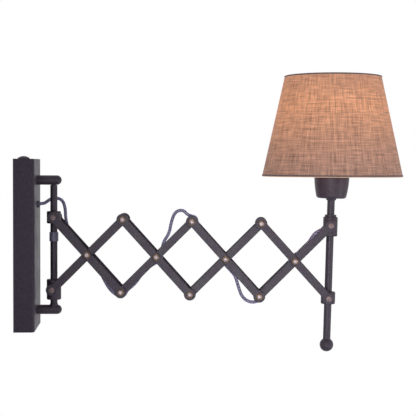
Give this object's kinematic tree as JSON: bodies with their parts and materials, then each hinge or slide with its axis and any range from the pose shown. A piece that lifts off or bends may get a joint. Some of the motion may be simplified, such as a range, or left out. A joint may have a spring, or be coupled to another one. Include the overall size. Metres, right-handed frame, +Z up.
{
  "type": "accordion wall lamp",
  "caption": "Wall lamp with a flat steel wall box, a swinging double scissor arm of riveted bars that pulls out and folds, and a linen cone shade on a hollow rod with a ball end.",
  "frame": {"origin": "on the wall plane behind the box, midway between the two stubs", "axes": "+X out of the wall, +Z up, +Y along the wall to the right of someone facing away from it; the arm is stored swung 4.5 degrees towards -Y"},
  "size_m": [0.5639, 0.2051, 0.4041],
  "materials": {
    "black_brown_metal": "fine matte texture",
    "zinc_steel": "zinc plated",
    "gland_plastic": "satin grey",
    "terminal_plastic": "plain",
    "textile_cable": "braided, blue-grey with white flecks",
    "copper_screw": "dull, slotted",
    "brass_heads": "dull domed heads",
    "grey_sleeve": "satin blue-grey",
    "black_plastic": "satin",
    "brass": "plain",
    "white_wire": "white enamel",
    "linen": "slubbed linen weave",
    "nickel_cap": "plain",
    "frosted_glass": "frosted"
  },
  "bodies": {
    "wall": {"wall_bracket": "zinc_steel", "wall_box": "black_brown_metal", "box_screws": "black_brown_metal", "stub_upper": "black_brown_metal", "stub_lower": "black_brown_metal", "stub_nuts": "zinc_steel", "cable_gland": "gland_plastic", "terminal_block": "terminal_plastic", "cable_wall": "textile_cable"},
    "swing": {"wall_rod": "black_brown_metal", "wall_collar": "black_brown_metal", "wall_collar_screws": "copper_screw", "stop_sleeve": "grey_sleeve", "cable_rod": "textile_cable"},
    "wall_slider": {"wall_slider": "black_brown_metal", "wall_slider_screws": "copper_screw"},
    "link_a1": {"link_a1_front": "black_brown_metal", "link_a1_rear": "black_brown_metal", "link_pins_a1": "brass_heads", "link_spacers_a1": "black_brown_metal"},
    "link_b1": {"link_b1_front": "black_brown_metal", "link_b1_rear": "black_brown_metal", "cable_link_b1": "textile_cable"},
    "link_a2": {"link_a2_front": "black_brown_metal", "link_a2_rear": "black_brown_metal", "link_pins_a2": "brass_heads", "link_spacers_a2": "black_brown_metal", "cable_link_a2": "textile_cable"},
    "link_b2": {"link_b2_front": "black_brown_metal", "link_b2_rear": "black_brown_metal"},
    "link_a3": {"link_a3_front": "black_brown_metal", "link_a3_rear": "black_brown_metal", "link_pins_a3": "brass_heads", "link_spacers_a3": "black_brown_metal"},
    "link_b3": {"link_b3_front": "black_brown_metal", "link_b3_rear": "black_brown_metal", "cable_link_b3": "textile_cable"},
    "link_a4": {"link_a4_front": "black_brown_metal", "link_a4_rear": "black_brown_metal", "link_pins_a4": "brass_heads", "link_spacers_a4": "black_brown_metal", "cable_link_a4": "textile_cable"},
    "link_b4": {"link_b4_front": "black_brown_metal", "link_b4_rear": "black_brown_metal"},
    "lamp": {"lamp_tube": "black_brown_metal", "lamp_collar": "black_brown_metal", "lamp_collar_screws": "copper_screw", "ball_finial": "black_brown_metal", "holder_cup": "black_brown_metal", "cup_nut": "black_brown_metal", "lampholder": "black_plastic", "holder_contacts": "brass", "shade_rings": "black_plastic", "shade_frame": "white_wire", "shade_cover": "linen", "bulb_cap": "nickel_cap", "bulb_glass": "frosted_glass", "cable_lamp": "textile_cable"},
    "lamp_slider": {"lamp_slider": "black_brown_metal", "lamp_slider_screws": "copper_screw"}
  },
  "joints": [
    {"name": "swing", "type": "hinge", "parent": "wall", "child": "swing", "pos_m": [0.054, 0, 0], "axis": [0, 0, 1], "range_deg": [-55.5, 64.5], "deforming": ["cable_wall"]},
    {"name": "fold", "type": "hinge", "parent": "swing", "child": "link_a1", "pos_m": [0.0526, 0.00011, -0.0657], "axis": [-0.0785, -0.9969, 0], "range_deg": [-6.5, 29], "deforming": ["cable_rod"]},
    {"name": "cross_1", "type": "hinge", "parent": "link_a1", "child": "link_b1", "pos_m": [0.10442, -0.00397, -0.01373], "axis": [-0.0785, -0.9969, 0], "range_deg": [-57.49, 13.12], "deforming": ["cable_link_b1"]},
    {"name": "wall_slider_pivot", "type": "hinge", "parent": "link_b1", "child": "wall_slider", "pos_m": [0.0552, -0.00009, 0.04072], "axis": [-0.0785, -0.9969, 0], "range_deg": [-6.62, 28.49]},
    {"name": "lower_1", "type": "hinge", "parent": "link_b1", "child": "link_a2", "pos_m": [0.15364, -0.00784, -0.06818], "axis": [-0.0785, -0.9969, 0], "range_deg": [-13.12, 57.49], "deforming": ["cable_link_a2"]},
    {"name": "cross_2", "type": "hinge", "parent": "link_a2", "child": "link_b2", "pos_m": [0.20545, -0.01192, -0.0162], "axis": [-0.0785, -0.9969, 0], "range_deg": [-57.49, 13.12]},
    {"name": "lower_2", "type": "hinge", "parent": "link_b2", "child": "link_a3", "pos_m": [0.25467, -0.01579, -0.07065], "axis": [-0.0785, -0.9969, 0], "range_deg": [-13.12, 57.49]},
    {"name": "cross_3", "type": "hinge", "parent": "link_a3", "child": "link_b3", "pos_m": [0.30648, -0.01987, -0.01868], "axis": [-0.0785, -0.9969, 0], "range_deg": [-57.49, 13.12], "deforming": ["cable_link_b3"]},
    {"name": "lower_3", "type": "hinge", "parent": "link_b3", "child": "link_a4", "pos_m": [0.3557, -0.02374, -0.07313], "axis": [-0.0785, -0.9969, 0], "range_deg": [-13.12, 57.49], "deforming": ["cable_link_a4"]},
    {"name": "cross_4", "type": "hinge", "parent": "link_a4", "child": "link_b4", "pos_m": [0.40751, -0.02782, -0.02116], "axis": [-0.0785, -0.9969, 0], "range_deg": [-57.49, 13.12]},
    {"name": "lamp_pivot", "type": "hinge", "parent": "link_a4", "child": "lamp", "pos_m": [0.45932, -0.0319, 0.03081], "axis": [-0.0785, -0.9969, 0], "range_deg": [-28.89, 6.71]},
    {"name": "lamp_slider_pivot", "type": "hinge", "parent": "link_b4", "child": "lamp_slider", "pos_m": [0.45673, -0.0317, -0.07561], "axis": [-0.0785, -0.9969, 0], "range_deg": [-6.71, 28.89]}
  ],
  "couplings": [
    {"joint": "cross_1", "follows": "fold", "ratio": -1.972},
    {"joint": "wall_slider_pivot", "follows": "fold", "ratio": 0.972},
    {"joint": "lower_1", "follows": "fold", "ratio": 1.972},
    {"joint": "cross_2", "follows": "fold", "ratio": -1.972},
    {"joint": "lower_2", "follows": "fold", "ratio": 1.972},
    {"joint": "cross_3", "follows": "fold", "ratio": -1.972},
    {"joint": "lower_3", "follows": "fold", "ratio": 1.972},
    {"joint": "cross_4", "follows": "fold", "ratio": -1.972},
    {"joint": "lamp_pivot", "follows": "fold", "ratio": -0.986},
    {"joint": "lamp_slider_pivot", "follows": "fold", "ratio": 0.986}
  ]
}
